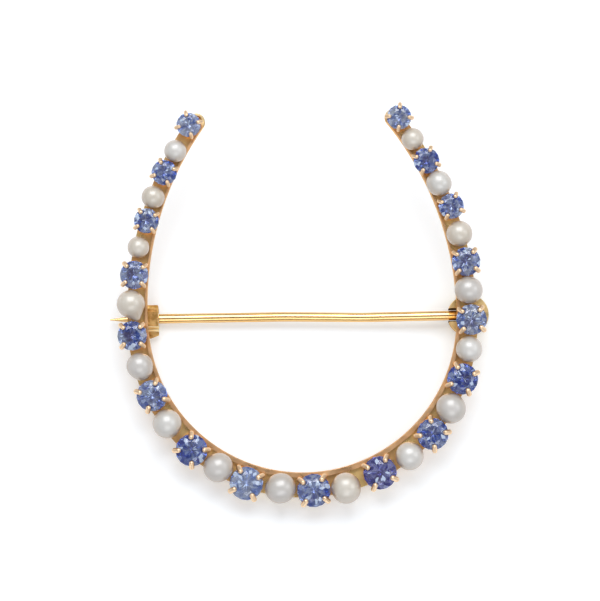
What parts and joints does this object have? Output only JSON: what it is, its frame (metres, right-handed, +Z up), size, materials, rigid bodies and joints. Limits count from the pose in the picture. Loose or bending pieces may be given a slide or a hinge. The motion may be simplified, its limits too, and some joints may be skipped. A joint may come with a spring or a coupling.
{
  "type": "horseshoe brooch",
  "caption": "Gold horseshoe brooch: claw-set blue stones and seed pearls in turn, with a hinged pin behind and a turning catch.",
  "frame": {"origin": "middle of the underside of the brooch's box, on the surface it lies on", "axes": "+Z up off the surface, +Y from the bow to the two tips, +X to the right seen from the front, the hinge's side"},
  "size_m": [0.0318, 0.0334, 0.0075],
  "materials": {
    "gold": "polished 14-carat rose-yellow gold, softly worn",
    "sapphire": "polished brilliant-cut cornflower-blue sapphire",
    "pearl": "cream-grey nacre with a soft lustre"
  },
  "bodies": {
    "brooch": {"sapphire_01": "sapphire", "pearl_01": "pearl", "sapphire_02": "sapphire", "pearl_02": "pearl", "sapphire_03": "sapphire", "pearl_03": "pearl", "sapphire_04": "sapphire", "pearl_04": "pearl", "sapphire_05": "sapphire", "pearl_05": "pearl", "sapphire_06": "sapphire", "pearl_06": "pearl", "sapphire_07": "sapphire", "pearl_07": "pearl", "sapphire_08": "sapphire", "pearl_08": "pearl", "sapphire_09": "sapphire", "pearl_09": "pearl", "sapphire_10": "sapphire", "pearl_10": "pearl", "sapphire_11": "sapphire", "pearl_11": "pearl", "sapphire_12": "sapphire", "pearl_12": "pearl", "sapphire_13": "sapphire", "pearl_13": "pearl", "sapphire_14": "sapphire", "pearl_14": "pearl", "sapphire_15": "sapphire", "pearl_15": "pearl", "sapphire_16": "sapphire", "pearl_16": "pearl", "sapphire_17": "sapphire", "frame": "gold", "hinge_rivet": "gold"},
    "pin": {"pin_stem": "gold"},
    "catch": {"catch_rotor": "gold"}
  },
  "joints": [
    {"name": "pin_swing", "type": "hinge", "parent": "brooch", "child": "pin", "pos_m": [0.01459, -0.00092, 0.00124], "axis": [-0.0333, -0.9889, -0.1446], "range_deg": [0, 100]},
    {"name": "catch_turn", "type": "hinge", "parent": "brooch", "child": "catch", "pos_m": [-0.01275, 0.00006, 0.00084], "axis": [0.9993, -0.0358, 0.0147], "range_deg": [0, 105]}
  ]
}
